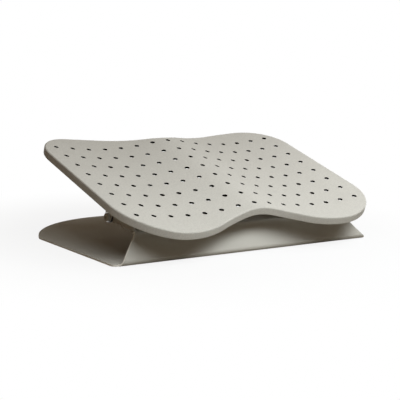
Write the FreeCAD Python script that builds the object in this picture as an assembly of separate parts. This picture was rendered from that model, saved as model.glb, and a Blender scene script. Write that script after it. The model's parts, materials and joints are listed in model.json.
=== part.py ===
import FreeCAD, Part
import math
import os

# Under-desk footrest: a wave-shaped perforated foot board that tilts on a bent sheet base.
# Lengths are in millimetres and angles in degrees. X runs across, Y from front to back, Z up.
# The base is drawn with Y = 0 at the hinge line and Z = 0 on the floor. The board is drawn flat, with
# its origin on the ridge of the wave at the middle of its holes, and is then tilted and hung on the hinge.

# Board outline, seen square to the board
board_width = 500.0
lobe_x = 160.0           # each foot lobe's crest, from the middle
lobe_front = 184.0       # crest of the front lobes, from the middle of the holes
lobe_back = 175.5
waist_front = 149.0      # the shallow notches between the lobes
waist_back = 143.0
flank_front = 1.0        # slope between notch and lobe, of the slope that leaves no straight part there
flank_back = 0.61
notch_share_front = 0.5  # of the notch in the notch and lobe radii together
notch_share_back = 0.33
corner_share_front = 1.0     # of each corner's radius in the width from the lobe's crest to the side
corner_share_back = 0.89

# Board wave, seen from the front: a ridge between two foot troughs, then straight wings
trough_x = 126.0
trough_depth = 12.8
ridge_radius = 150.0
wing_x = 189.0           # where each trough's arc passes into its straight wing
board_wall = 3.0
skirt_depth = 13.0
top_edge_bevel = 1.6
skirt_edge_bevel = 0.6

# Board holes
hole_diameter = 7.5
hole_columns = 15
hole_rows = 8
hole_side_margin = 29.5  # from the board's side to the outermost holes' middles
hole_pitch_y = 37.0

# Board ribs and screw bosses, underneath
rib_depth = 6.0
rib_thickness = 2.0
rib_columns_apart = 2    # hole columns between two lengthways ribs
rib_rows_apart = 2       # hole rows between two crossways ribs
boss_diameter = 9.0
rail_screw_columns = (0, 2, 4)   # hole columns between the middle and each screw

# Hinge: its place below the board, its height above the floor and its travel
pivot_forward = 43.0     # in front of the middle of the holes
pivot_drop = 50.2        # below the ridge
pivot_height = 57.0
rest_tilt = 16.5
lowest_tilt = 0.0
highest_tilt = 24.0

# Hinge rail, folded from strip
rail_sheet = 2.5
rail_bend = 2.0          # inside radius
rail_top = 22.5          # its seat for the bosses, above the hinge line
rail_width = 30.0
rail_flange_height = 7.5
rail_tongue_width = 22.0
rail_tongue_length = 25.0    # from the end of the channel's sides to the lug
lug_radius = 7.5
lug_shoulder = 7.5       # height of the tongue's full-width part, below the rail

# Base sheet
sheet = 3.0
sheet_bend = 3.0         # inside radius
base_width = 514.0
plate_front = 93.0       # where the flat plate passes into the front bend, in front of the hinge
plate_back = 268.5
plate_front_corner = 8.0
plate_back_corner = 200.0    # the wide arc of each rear corner
plate_side_corner = 8.0      # the small arc that joins it to the side
plate_side_turn = 21.0
wall_lean = 32.0         # back from upright
wall_taper = 38.0        # of each end, in the wall's own plane
shelf_height = 46.0      # top face above the floor
shelf_back = 32.0        # rear edge, in front of the hinge
ear_inset = 0.5          # outer face of each ear, inside the end of the wall's crest
ear_front = 68.0         # in front of the hinge
ear_nose_radius = 8.0
stop_flat_length = 11.0      # of each ear's sloping stop edge
relief = 1.5             # slot at the end of each fold
joint_overlap = 0.5      # how far ribs and bosses reach into the board's wall
overrun = 20.0           # how far a cutting shape passes what it cuts

# Hinge hardware
pivot_diameter = 8.0
pivot_running_gap = 0.05     # radial, between screw and bush
hinge_side_gap = 0.05        # between parts that slide on each other
pivot_hole_gap = 0.1         # radial, screw in ear and in nut
pivot_head_diameter = 13.0
pivot_head_height = 2.5
pivot_socket = 4.0
pivot_socket_depth = 1.5
pivot_screw_edge = 0.8       # bevel of the head and of the tip
head_washer_diameter = 15.0
head_washer_thickness = 1.0
bush_wall = 1.0
bush_flange_diameter = 18.0
bush_flange_thickness = 2.0
disc_spring_diameter = 18.0
disc_spring_sheet = 1.0
disc_spring_height = 1.6
nut_flats = 13.0
nut_hex_height = 6.5
nut_bevel_start = 7.15       # radius where the bevel of the hexagon's corners starts
nut_collar_diameter = 11.5
nut_height = 8.0
screw_end = 1.6              # thread that stands out of the nut

# Rail screws
rail_screw_diameter = 4.0
rail_screw_length = 14.0
rail_screw_head = 8.0
rail_screw_head_height = 2.4
rail_screw_head_edge = 1.0
rail_screw_tip_room = 1.0    # pilot hole below the screw's tip
rail_screw_gap = 0.05        # radial, in the boss
rail_screw_hole_gap = 0.25   # radial, in the rail

# Stop pads and foot pads
stop_pad_thickness = 1.5
stop_pad_length = 6.0
stop_gap = 0.2               # left between pad and ear at each end of the travel
foot_pad_diameter = 32.0
foot_pad_height = 1.0
foot_pad_edge = 0.3
foot_pad_inset = 32.0        # of each pad's middle from the plate's edge

V = FreeCAD.Vector
X_AXIS = V(1, 0, 0)
Y_AXIS = V(0, 1, 0)
Z_AXIS = V(0, 0, 1)
touch = 0.01             # closer than this counts as touching
same_point = 1e-6        # drawn points closer than this are one point
half_board = board_width / 2
half_base = base_width / 2
hole_pitch_x = (board_width - 2 * hole_side_margin) / (hole_columns - 1)
wave_turn = 2 * math.atan(trough_depth / trough_x)
trough_radius = trough_x / math.sin(wave_turn) - ridge_radius
wing_turn = math.asin((wing_x - trough_x) / trough_radius)
rail_under = rail_top - rail_sheet
stop_height = rail_under - stop_pad_thickness - stop_gap
bush_radius = pivot_diameter / 2 + pivot_running_gap + bush_wall
pivot_hole_radius = pivot_diameter / 2 + pivot_hole_gap
lean = math.radians(wall_lean)
outer_bend = sheet + sheet_bend
side_turn = math.radians(plate_side_turn)
corner_step = plate_back_corner - plate_side_corner
plate_side_back = plate_back - plate_back_corner + corner_step * math.sin(side_turn)
plate_back_side = half_base - plate_side_corner - corner_step * math.cos(side_turn)
wall_root = half_base - plate_front_corner
wall_rise = shelf_height - foot_pad_height
wall_crest = wall_root - wall_rise * math.tan(math.radians(wall_taper)) / math.cos(lean)
ear_outside = wall_crest - ear_inset
ear_inside = ear_outside - sheet
nut_start = ear_inside - disc_spring_height - nut_height
lug_inside = ear_outside + hinge_side_gap + bush_flange_thickness
rail_channel_end = lug_inside - rail_tongue_length


def polar(centre, radius, angle):
    """A point of the drawing plane, as a pair."""
    return (centre[0] + radius * math.cos(angle), centre[1] + radius * math.sin(angle))


def draw(steps, place):
    """A closed face from lines and arcs. A step is a point, or (centre, radius, start, end) of an arc."""
    edges = []
    first = None
    last = None
    for step in steps:
        if len(step) == 2:
            start = end = step
        else:
            centre, radius, start_angle, end_angle = step
            start = polar(centre, radius, start_angle)
            middle = polar(centre, radius, (start_angle + end_angle) / 2)
            end = polar(centre, radius, end_angle)
        if last is not None and math.dist(last, start) > same_point:
            edges.append(Part.LineSegment(place(*last), place(*start)).toShape())
        if len(step) == 4:
            edges.append(Part.Arc(place(*start), place(*middle), place(*end)).toShape())
        if first is None:
            first = start
        last = end
    if math.dist(last, first) > same_point:
        edges.append(Part.LineSegment(place(*last), place(*first)).toShape())
    return Part.Face(Part.Wire(edges))


def on_xy(a, b):
    return V(a, b, 0)


def on_xz(a, b):
    return V(a, 0, b)


def on_yz(a, b):
    return V(0, a, b)


def prism(steps, place, start, end):
    """The drawn face, pushed square to its plane from start to end."""
    face = draw(steps, place)
    normal = {on_xy: Z_AXIS, on_xz: Y_AXIS, on_yz: X_AXIS}[place]
    face.translate(normal * start)
    return face.extrude(normal * (end - start))


def box(x0, x1, y0, y1, z0, z1):
    return Part.makeBox(x1 - x0, y1 - y0, z1 - z0, V(x0, y0, z0))


def mirror_x(shape):
    return shape.mirror(V(0, 0, 0), X_AXIS)


def wave_height(x):
    """Height of the board's top below its ridge, negative."""
    x = abs(x)
    if x < ridge_radius * math.sin(wave_turn):
        return math.sqrt(ridge_radius ** 2 - x ** 2) - ridge_radius
    if x < wing_x:
        return trough_radius - trough_depth - math.sqrt(trough_radius ** 2 - (x - trough_x) ** 2)
    rise = trough_radius * (1 - math.cos(wing_turn))
    return rise - trough_depth + (x - wing_x) * math.tan(wing_turn)


def wave_steps(depth, reach):
    """Right half of the wave, a depth below the top and square to it, from the ridge to the reach."""
    up = math.pi / 2
    ridge = ((0, -ridge_radius), ridge_radius - depth, up, up - wave_turn)
    centre = (trough_x, trough_radius - trough_depth)
    trough = (centre, trough_radius + depth, -up - wave_turn, -up + wing_turn)
    wing = polar(centre, trough_radius + depth, -up + wing_turn)
    tip = (reach, wing[1] + (reach - wing[0]) * math.tan(wing_turn))
    return [ridge, trough, tip]


def wave_slab(top_depth, bottom_depth):
    """A sheet that follows the wave between two depths, longer and wider than the board."""
    reach = half_board + overrun
    top = wave_steps(top_depth, reach)
    bottom = []
    for step in reversed(wave_steps(bottom_depth, reach)):
        if len(step) == 4:
            step = (step[0], step[1], step[3], step[2])
        bottom.append(step)
    half = prism(top + bottom, on_xz, -lobe_front - overrun, lobe_back + overrun)
    return half.fuse(mirror_x(half)).removeSplitter()


def outline_steps(inset):
    """The butterfly outline, drawn inside the board's edge by the inset."""
    steps = []
    up = math.pi / 2
    ends = ((lobe_back, waist_back, flank_back, notch_share_back, corner_share_back, 1),
            (lobe_front, waist_front, flank_front, notch_share_front, corner_share_front, -1))
    for lobe, waist, flank, notch_share, corner_share, end in ends:
        turn = flank * 2 * math.atan((lobe - waist) / lobe_x)
        radii = (lobe_x * math.tan(turn) - lobe + waist) / (1 / math.cos(turn) - 1)
        hollow = notch_share * radii
        swell = radii - hollow
        rim = corner_share * (half_board - lobe_x)
        notch = ((0, end * (waist + hollow)), hollow + inset, -end * up, -end * (up - turn))
        crest = ((lobe_x, end * (lobe - swell)), swell - inset, end * (up + turn), end * up)
        corner = ((half_board - rim, end * (lobe - rim)), rim - inset, end * up, 0)
        half = [notch, crest, corner]
        if end < 0:
            half = [(c, r, a1, a0) for c, r, a0, a1 in reversed(half)]
        steps += half
    mirrored = []
    for centre, radius, start, finish in reversed(steps):
        mirrored.append(((-centre[0], centre[1]), radius, math.pi - finish, math.pi - start))
    return steps + mirrored


def outline_prism(inset):
    """The outline's whole column, through the board and its bosses."""
    return prism(outline_steps(inset), on_xy, -pivot_drop - overrun, overrun)


def rim_edges(shape, outline, lower):
    """Edges along the board's rim: the lower ones, or the ones at its top."""
    found = []
    for edge in shape.Edges:
        middle = edge.valueAt((edge.FirstParameter + edge.LastParameter) / 2)
        depth = wave_height(middle.x) - middle.z
        at_level = depth > 0.9 * skirt_depth if lower else depth < 0.1 * skirt_depth
        if at_level and outline.distToShape(Part.Vertex(V(middle.x, middle.y, 0)))[0] < touch:
            found.append(edge)
    return found


def hole_places():
    for column in range(hole_columns):
        for row in range(hole_rows):
            x = (column - (hole_columns - 1) / 2) * hole_pitch_x
            y = (row - (hole_rows - 1) / 2) * hole_pitch_y
            yield x, y


def rail_screw_places():
    for side in (-1, 1):
        for columns in rail_screw_columns:
            yield side * (columns + 0.5) * hole_pitch_x


def make_board():
    """The moulded board: wave, skirt, ribs, bosses and holes."""
    outline = draw(outline_steps(0), on_xy).Wires[0]
    shell = wave_slab(0, skirt_depth).common(outline_prism(0))
    shell = shell.makeChamfer(top_edge_bevel, rim_edges(shell, outline, False))
    shell = shell.makeChamfer(skirt_edge_bevel, rim_edges(shell, outline, True))
    shell = shell.cut(wave_slab(board_wall, skirt_depth + overrun).common(outline_prism(board_wall)))

    bars = []
    reach = rib_thickness / 2
    columns = (hole_columns - 1) // 2
    for column in range(0, columns, rib_columns_apart):
        for side in (-1, 1):
            x = side * (column + 0.5) * hole_pitch_x
            bars.append(box(x - reach, x + reach, -lobe_front, lobe_back, -pivot_drop, overrun))
    rows = hole_rows // 2
    for row in range(-rows + rib_rows_apart, rows, rib_rows_apart):
        y = row * hole_pitch_y
        bars.append(box(-half_board, half_board, y - reach, y + reach, -pivot_drop, overrun))
    rooted = board_wall - joint_overlap
    rib_zone = wave_slab(rooted, board_wall + rib_depth).common(outline_prism(rooted))
    ribs = rib_zone.common(bars[0].multiFuse(bars[1:]))

    bosses = []
    pilots = []
    seat = rail_top - pivot_drop
    pilot_depth = rail_screw_length - rail_sheet + rail_screw_tip_room
    for x in rail_screw_places():
        foot = V(x, -pivot_forward, seat)
        bosses.append(Part.makeCylinder(boss_diameter / 2, wave_height(x) - rooted - seat, foot))
        pilots.append(Part.makeCylinder(rail_screw_diameter / 2 + rail_screw_gap, pilot_depth, foot))
    shell = shell.multiFuse([ribs] + bosses)

    depth = pivot_drop + overrun
    holes = [Part.makeCylinder(hole_diameter / 2, depth, V(x, y, -pivot_drop)) for x, y in hole_places()]
    return shell.cut(Part.makeCompound(holes + pilots)).removeSplitter()


def in_rail_frame(shape):
    """From drawings about the hinge line to the board's own frame."""
    shape.translate(V(0, -pivot_forward, -pivot_drop))
    return shape


def make_hinge_rail():
    """One folded strip: a channel below the board, with a lug turned down at each end."""
    up = math.pi / 2
    outer = rail_sheet + rail_bend
    half = rail_width / 2
    side = [(half - outer, rail_under), ((half - outer, rail_under + outer), outer, -up, 0),
            (half, rail_under + rail_flange_height), (half - rail_sheet, rail_under + rail_flange_height),
            ((half - outer, rail_under + outer), rail_bend, 0, -up)]
    other = []
    for step in reversed(side):
        if len(step) == 4:
            other.append(((-step[0][0], step[0][1]), step[1], -2 * up - step[3], -2 * up - step[2]))
        else:
            other.append((-step[0], step[1]))
    channel = prism(side + other, on_yz, -rail_channel_end, rail_channel_end)

    fold = (lug_inside - rail_bend, rail_under - rail_bend)
    strip = [(0, rail_under), (fold, rail_bend, up, 0), (lug_inside, -lug_radius),
             (lug_inside + rail_sheet, -lug_radius), (fold, outer, 0, up), (0, rail_top)]
    half_strip = prism(strip, on_xz, -rail_tongue_width / 2, rail_tongue_width / 2)
    half_tongue = rail_tongue_width / 2
    shoulder = rail_under - lug_shoulder
    lug = prism([((0, 0), lug_radius, -2 * up, 0), (half_tongue, shoulder), (half_tongue, rail_top),
                 (-half_tongue, rail_top), (-half_tongue, shoulder)], on_yz, 0, lug_inside + overrun)
    half_strip = half_strip.common(lug)
    half_strip = half_strip.cut(along_x(bush_radius, lug_inside - overrun, lug_inside + overrun))
    rail = channel.multiFuse([half_strip, mirror_x(half_strip)])
    for x in rail_screw_places():
        radius = rail_screw_diameter / 2 + rail_screw_hole_gap
        rail = rail.cut(Part.makeCylinder(radius, rail_top + overrun, V(x, 0, 0)))
    return in_rail_frame(rail.removeSplitter())


def along_x(radius, start, end):
    """A round bar on the hinge line."""
    return Part.makeCylinder(radius, end - start, V(start, 0, 0), X_AXIS)


def make_rail_screws():
    """Six pan-head screws, as one group."""
    screws = []
    for x in rail_screw_places():
        foot = V(x, 0, rail_under - rail_screw_head_height)
        head = Part.makeCylinder(rail_screw_head / 2, rail_screw_head_height, foot)
        head = head.makeChamfer(rail_screw_head_edge, [head.Edges[2]])
        shank = Part.makeCylinder(rail_screw_diameter / 2, rail_screw_length, V(x, 0, rail_under))
        screws.append(head.fuse(shank).removeSplitter())
    return in_rail_frame(Part.makeCompound(screws))


def make_bush():
    """Flanged bush in the right lug."""
    flange_start = ear_outside + hinge_side_gap
    bush = along_x(bush_radius, lug_inside, lug_inside + rail_sheet)
    bush = bush.fuse(along_x(bush_flange_diameter / 2, flange_start, lug_inside))
    bush = bush.cut(along_x(bush_radius - bush_wall, flange_start - overrun, lug_inside + overrun))
    return in_rail_frame(bush.removeSplitter())


def make_stop_pad():
    """Rubber pad under the rail's right end, above the ear."""
    inner = lug_inside - rail_bend - stop_pad_length
    half = rail_tongue_width / 2
    return in_rail_frame(box(inner, inner + stop_pad_length, -half, half,
                             rail_under - stop_pad_thickness, rail_under))


def hang(shape):
    """From the board's own frame to its place on the hinge, at rest."""
    shape.translate(V(0, pivot_forward, pivot_drop))
    shape.rotate(V(0, 0, 0), X_AXIS, rest_tilt)
    shape.translate(V(0, 0, pivot_height))
    return shape


def make_base_sheet():
    """Floor plate, front bend, leaning wall, shelf and ears, folded from one sheet."""
    up = math.pi / 2
    floor = foot_pad_height
    nose = (-plate_front, floor + outer_bend)
    crown_height = shelf_height - outer_bend
    crown = (nose[0] + (crown_height - nose[1]) * math.tan(lean), crown_height)
    face = math.pi - lean
    section = [(plate_back, floor), (nose, outer_bend, -up, -2 * up - lean), (crown, outer_bend, face, up),
               (-shelf_back, shelf_height), (-shelf_back, shelf_height - sheet),
               (crown, sheet_bend, up, face), (nose, sheet_bend, -2 * up - lean, -up),
               (plate_back, floor + sheet)]
    folded = prism(section, on_yz, -half_base, half_base)

    half = half_base
    front = plate_front_corner
    wide = plate_back_corner
    small = plate_side_corner
    plan = [(-half + front, -plate_front), (half - front, -plate_front),
            ((half - front, front - plate_front), front, -up, 0),
            ((half - small, plate_side_back), small, 0, side_turn),
            ((plate_back_side, plate_back - wide), wide, side_turn, up),
            ((-plate_back_side, plate_back - wide), wide, up, 2 * up - side_turn),
            ((small - half, plate_side_back), small, 2 * up - side_turn, 2 * up),
            ((front - half, front - plate_front), front, 2 * up, 3 * up)]
    plate = folded.common(prism(plan, on_xy, 0, floor + outer_bend))

    ends = [(-wall_root, floor), (wall_root, floor),
            (wall_crest, shelf_height), (-wall_crest, shelf_height)]
    wall = folded.common(prism(ends, on_xz, -plate_front - overrun, 0))
    wall = wall.cut(box(-half, half, -plate_front, plate_back, 0, floor + outer_bend))
    body = plate.fuse(wall)

    shelf_end = ear_inside - sheet_bend
    top = shelf_height + overrun
    for side in (-1, 1):
        ends_x = sorted((side * shelf_end, side * half))
        body = body.cut(box(*ends_x, -ear_front - relief, 0, shelf_height - outer_bend, top))
    ear = make_ear(shelf_end)
    return body.multiFuse([ear, mirror_x(ear)]).removeSplitter()


def make_ear(shelf_end):
    """The right ear: a tab folded up from the shelf's end, with the hinge in its nose."""
    up = math.pi / 2
    fold = (shelf_end, shelf_height + sheet_bend)
    top = pivot_height + stop_height + overrun
    bend = [(shelf_end, shelf_height - sheet), (fold, outer_bend, -up, 0), (ear_outside, top),
            (ear_inside, top), (fold, sheet_bend, 0, -up), (shelf_end, shelf_height)]
    bent = prism(bend, on_xz, -ear_front, ear_nose_radius + overrun)
    fold_zone = box(0, ear_outside, -ear_front, -shelf_back, 0, fold[1])
    steep = math.radians(highest_tilt - lowest_tilt)
    pivot = (0, pivot_height)
    level = up + math.radians(lowest_tilt)
    front_touch = polar(pivot, stop_height, level + steep)
    front_end = polar(front_touch, stop_flat_length, level + up + steep)
    back_touch = polar(pivot, stop_height, level)
    back_reach = ear_nose_radius / math.cos(level - up)
    back_end = polar(back_touch, back_reach, level - up)
    side = [(-ear_front, fold[1]), (pivot, ear_nose_radius, -up, 0), back_end,
            (pivot, stop_height, level, level + steep), front_end, (-ear_front, fold[1] + relief)]
    ear = bent.common(prism(side, on_yz, 0, ear_outside)).fuse(bent.common(fold_zone))
    return ear.cut(lift(along_x(pivot_hole_radius, 0, ear_outside + overrun)))


def lift(shape):
    """From drawings about the hinge line to the hinge's height."""
    shape.translate(V(0, 0, pivot_height))
    return shape


def make_head_washer():
    """Washer between the right lug and its screw's head."""
    start = lug_inside + rail_sheet + hinge_side_gap
    end = start + head_washer_thickness
    return lift(along_x(head_washer_diameter / 2, start, end).cut(along_x(pivot_hole_radius, start, end)))


def hexagon(flats):
    """Corners of a hexagon, as steps for draw."""
    return [polar((0, 0), flats / math.sqrt(3), corner * math.pi / 3) for corner in range(6)]


def make_pivot_screw():
    """Low-headed screw through the right lug and ear."""
    under_head = lug_inside + rail_sheet + hinge_side_gap + head_washer_thickness
    top = under_head + pivot_head_height
    head = along_x(pivot_head_diameter / 2, under_head, top)
    head = head.makeChamfer(pivot_screw_edge, [head.Edges[0]])
    head = head.cut(prism(hexagon(pivot_socket), on_yz, top - pivot_socket_depth, top))
    shank = along_x(pivot_diameter / 2, nut_start - screw_end, under_head)
    shank = shank.makeChamfer(pivot_screw_edge, [shank.Edges[2]])
    return lift(head.fuse(shank).removeSplitter())


def make_disc_spring():
    """Cone spring between the right ear and the nut."""
    inner = pivot_hole_radius
    outer = disc_spring_diameter / 2
    start = ear_inside - disc_spring_height
    section = [(start, inner), (ear_inside - disc_spring_sheet, outer), (ear_inside, outer),
               (start + disc_spring_sheet, inner)]
    return lift(draw(section, on_xz).revolve(V(0, 0, 0), X_AXIS, 360))


def make_lock_nut():
    """Self-locking nut inside the right ear."""
    end = nut_start + nut_height
    body_start = end - nut_hex_height
    wide = nut_bevel_start + nut_hex_height
    cone = Part.makeCone(nut_bevel_start, wide, nut_hex_height, V(body_start, 0, 0), X_AXIS)
    nut = prism(hexagon(nut_flats), on_yz, body_start, end).common(cone)
    nut = nut.fuse(along_x(nut_collar_diameter / 2, nut_start, body_start))
    return lift(nut.cut(along_x(pivot_hole_radius, nut_start, end)).removeSplitter())


def make_foot_pad(x, y):
    """Round rubber pad, with its lower edge broken."""
    pad = Part.makeCylinder(foot_pad_diameter / 2, foot_pad_height, V(x, y, 0))
    return pad.makeChamfer(foot_pad_edge, [pad.Edges[2]])


def make_nodes():
    """Every piece at rest, by name."""
    nodes = {
        "base_sheet": make_base_sheet(),
        "pedal_board": hang(make_board()),
        "hinge_rail": hang(make_hinge_rail()),
        "rail_screws": hang(make_rail_screws()),
    }
    pairs = {
        "hinge_bush": hang(make_bush()),
        "stop_pad": hang(make_stop_pad()),
        "head_washer": make_head_washer(),
        "pivot_screw": make_pivot_screw(),
        "disc_spring": make_disc_spring(),
        "lock_nut": make_lock_nut(),
    }
    side = half_base - foot_pad_inset
    pairs["foot_pad_front"] = make_foot_pad(side, foot_pad_inset - plate_front)
    pairs["foot_pad_middle"] = make_foot_pad(side, plate_side_back - foot_pad_inset)
    pairs["foot_pad_back"] = make_foot_pad(plate_back_side, plate_back - foot_pad_inset)
    for name, shape in pairs.items():
        nodes[name + "_right"] = shape
        nodes[name + "_left"] = mirror_x(shape)
    return nodes


def main():
    os.makedirs("parts", exist_ok=True)
    nodes = make_nodes()
    bounds = Part.makeCompound(list(nodes.values())).optimalBoundingBox()
    middle = (bounds.YMin + bounds.YMax) / 2
    for name, shape in nodes.items():
        shape.translate(V(0, -middle, 0))
        shape.exportStep("parts/" + name + ".step")
        print(name, len(shape.Solids), "solids", round(shape.Volume / 1000, 2), "cm3", shape.isValid())
    print("hinge line at y", round(-middle, 4), "z", pivot_height)
    print("size", round(bounds.XLength, 2), round(bounds.YLength, 2), round(bounds.ZLength, 2))


main()
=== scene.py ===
import json
import math

import bmesh
import bpy
from bpy.props import FloatProperty, FloatVectorProperty, IntProperty, PointerProperty
from bpy.types import Operator, Panel, PropertyGroup
from mathutils import Matrix, Vector


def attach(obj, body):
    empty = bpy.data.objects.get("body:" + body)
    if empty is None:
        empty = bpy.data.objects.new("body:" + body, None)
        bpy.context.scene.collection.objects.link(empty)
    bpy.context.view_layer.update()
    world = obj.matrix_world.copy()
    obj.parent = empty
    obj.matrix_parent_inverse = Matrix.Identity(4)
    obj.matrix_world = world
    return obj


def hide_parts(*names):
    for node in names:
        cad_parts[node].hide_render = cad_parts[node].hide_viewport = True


bl_info = {
    "name": "Under-desk footrest",
    "version": (1, 0, 0),
    "blender": (4, 5, 0),
    "location": "3D View > Sidebar > Footrest",
    "description": "Models and finishes a tilting under-desk footrest on its packed frame",
    "category": "Object",
}

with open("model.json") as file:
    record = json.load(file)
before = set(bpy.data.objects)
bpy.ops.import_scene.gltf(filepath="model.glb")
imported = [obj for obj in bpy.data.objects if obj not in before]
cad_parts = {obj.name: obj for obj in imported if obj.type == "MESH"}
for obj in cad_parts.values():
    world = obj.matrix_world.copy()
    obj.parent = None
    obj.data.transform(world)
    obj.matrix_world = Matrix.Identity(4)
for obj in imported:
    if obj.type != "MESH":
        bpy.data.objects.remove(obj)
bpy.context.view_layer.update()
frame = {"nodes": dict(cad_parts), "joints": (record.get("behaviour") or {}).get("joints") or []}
hinge = Vector(frame["joints"][0]["pos_m"])

# The planes that outlines are drawn on: directions across and up
from_above = ((1.0, 0.0, 0.0), (0.0, 1.0, 0.0))
from_right = ((0.0, 1.0, 0.0), (0.0, 0.0, 1.0))
from_front = ((1.0, 0.0, 0.0), (0.0, 0.0, 1.0))

up = math.pi / 2        # the angle of straight up, a quarter turn
same_point = 1e-6       # points closer than this are one point
same_middle = 0.0001    # points this near to a mirror plane lie on it
same_face = math.radians(0.05)    # faces that turn less than this are one face
fine = 0.00004          # largest gap between an arc and its chords, for pieces without their own
overrun = 0.02          # how far a cutting shape passes what it cuts
lap = 0.00001           # how far two cutting shapes that meet overlap
off_middle = 0.001      # keeps the end of one cutting shape off the end of another
skirt_rise = 0.5        # faces of the skirt have normals that rise less than this
rim_rise = 0.3          # cut edges of the plate have normals that rise less than this
end_across = 0.5        # cut ends of the wall have normals that point across more than this
lip_steps = 2           # facets across the rounded lip of each perforation
lip_turn = math.radians(80.0)     # turn of each lip, before it runs on through the top
lip_overrun = 0.2       # how far a lip passes the top, of its own radius


def length(name, description, default):
    return FloatProperty(name=name, description=description, default=default, min=0.0, precision=4,
                         unit="LENGTH")


def turn(name, description, degrees):
    return FloatProperty(name=name, description=description, default=math.radians(degrees), unit="ROTATION")


def share(name, description, default):
    return FloatProperty(name=name, description=description, default=default, min=0.0, max=1.0,
                         subtype="FACTOR")


def colour(name, description, default):
    return FloatVectorProperty(name=name, description=description, default=default, min=0.0, max=1.0,
                               subtype="COLOR")


class FootBoardSizes(PropertyGroup):
    width: length("Width", "Across the board", 0.5)
    lobe_x: length("Lobe place", "Each foot lobe's crest, from the middle", 0.16)
    lobe_front: length("Front lobes", "Crest of the front lobes, from the middle of the holes", 0.184)
    lobe_back: length("Back lobes", "Crest of the back lobes, from the middle of the holes", 0.1755)
    waist_front: length("Front notch", "Bottom of the front notch, from the middle of the holes", 0.149)
    waist_back: length("Back notch", "Bottom of the back notch, from the middle of the holes", 0.143)
    flank_front: share("Front flanks", "Slope of the front flanks, of the one without a straight part", 1.0)
    flank_back: share("Back flanks", "Slope of the back flanks, of the one without a straight part", 0.61)
    notch_front: share("Front notch radius", "Of the front notch and lobe radii together", 0.5)
    notch_back: share("Back notch radius", "Of the back notch and lobe radii together", 0.33)
    corner_front: share("Front corners", "Radius, of the width from a lobe's crest to the side", 1.0)
    corner_back: share("Back corners", "Radius, of the width from a lobe's crest to the side", 0.89)
    trough_x: length("Trough place", "Lowest line of each foot trough, from the middle", 0.126)
    trough_depth: length("Trough depth", "Foot troughs below the ridge", 0.0128)
    ridge_radius: length("Ridge radius", "Arc of the ridge between the troughs", 0.15)
    wing_x: length("Wing start", "Where each trough passes into its straight wing", 0.189)
    wall: length("Wall", "Thickness of the moulded wall", 0.003)
    skirt_depth: length("Skirt", "Depth of the turned-down rim", 0.013)
    top_round: length("Top rounding", "Radius along the rim's upper edge", 0.0027)
    skirt_round: length("Skirt rounding", "Radius along the rim's lower edge", 0.0011)
    hole_diameter: length("Holes", "Diameter of the holes", 0.0075)
    hole_lip: length("Hole lips", "Rounding of the holes' upper edges", 0.00045)
    hole_columns: IntProperty(name="Hole columns", description="Holes across the board", default=15, min=3)
    hole_rows: IntProperty(name="Hole rows", description="Holes from front to back", default=8, min=2)
    hole_side_margin: length("Hole margin", "From the board's side to the outermost holes' middles", 0.0295)
    hole_pitch_y: length("Row pitch", "Distance between rows of holes", 0.037)
    rib_depth: length("Rib depth", "Ribs below the wall", 0.006)
    rib_thickness: length("Rib thickness", "Thickness of the ribs", 0.002)
    rooting: length("Rooting", "How far ribs and bosses reach into the wall", 0.0005)
    boss_diameter: length("Bosses", "Diameter of the screw bosses", 0.009)
    pilot_diameter: length("Pilot holes", "Bores of the screw bosses", 0.0041)
    pilot_depth: length("Pilot depth", "Depth of the screw bosses' bores", 0.0125)
    seat_drop: length("Boss seat", "Lower faces of the bosses, below the ridge", 0.0277)
    pivot_forward: length("Hinge forward", "Hinge line in front of the middle of the holes", 0.043)
    pivot_drop: length("Hinge drop", "Hinge line below the ridge", 0.0502)
    tilt: turn("Tilt", "Tilt of the board at rest", 16.5)
    strip: length("Strip", "Width of the strips that follow the wave", 0.005)


class BaseSheetSizes(PropertyGroup):
    sheet: length("Sheet", "Thickness of the sheet", 0.003)
    bend: length("Bend", "Inside radius of the folds", 0.003)
    width: length("Width", "Across the plate", 0.514)
    plate_front: length("Plate front", "Start of the front bend, in front of the hinge", 0.093)
    plate_back: length("Plate back", "Rear edge, behind the hinge", 0.2685)
    front_corner: length("Front corners", "Radius of the plate's front corners", 0.008)
    back_corner: length("Rear corners", "Wide arc of the plate's rear corners", 0.2)
    side_corner: length("Side corners", "Small arc between each wide arc and the side", 0.008)
    side_turn: turn("Side turn", "Turn of each small arc", 21.0)
    wall_lean: turn("Wall lean", "Lean of the front wall, back from upright", 32.0)
    wall_taper: turn("Wall taper", "Slant of the wall's ends, in its own plane", 38.0)
    shelf_height: length("Shelf height", "Top of the shelf above the floor", 0.046)
    shelf_back: length("Shelf back", "Rear edge of the shelf, in front of the hinge", 0.032)
    ear_inset: length("Ear inset", "Outer face of each ear, inside the end of the wall's crest", 0.0005)
    ear_front: length("Ear front", "Front of each ear, in front of the hinge", 0.068)
    ear_nose: length("Ear nose", "Radius of each ear round its hinge hole", 0.008)
    ear_hole: length("Ear hole", "Radius of the hinge holes", 0.0041)
    stop_height: length("Stop height", "Stop edges above the hinge line", 0.0183)
    stop_flat: length("Stop flat", "Length of each sloping stop edge", 0.011)
    travel: turn("Travel", "Turn of the board from level to its steepest tilt", 24.0)
    relief: length("Relief", "Slot at the end of each fold", 0.0015)
    pad_height: length("Pad height", "Foot pads below the sheet", 0.001)
    pivot_height: length("Hinge height", "Hinge line above the floor", 0.057)
    edge_round: length("Edge rounding", "Softened edges of the cut sheet", 0.0004)
    fineness: length("Fineness", "Largest gap between an arc and its chords", 0.00002)


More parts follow.
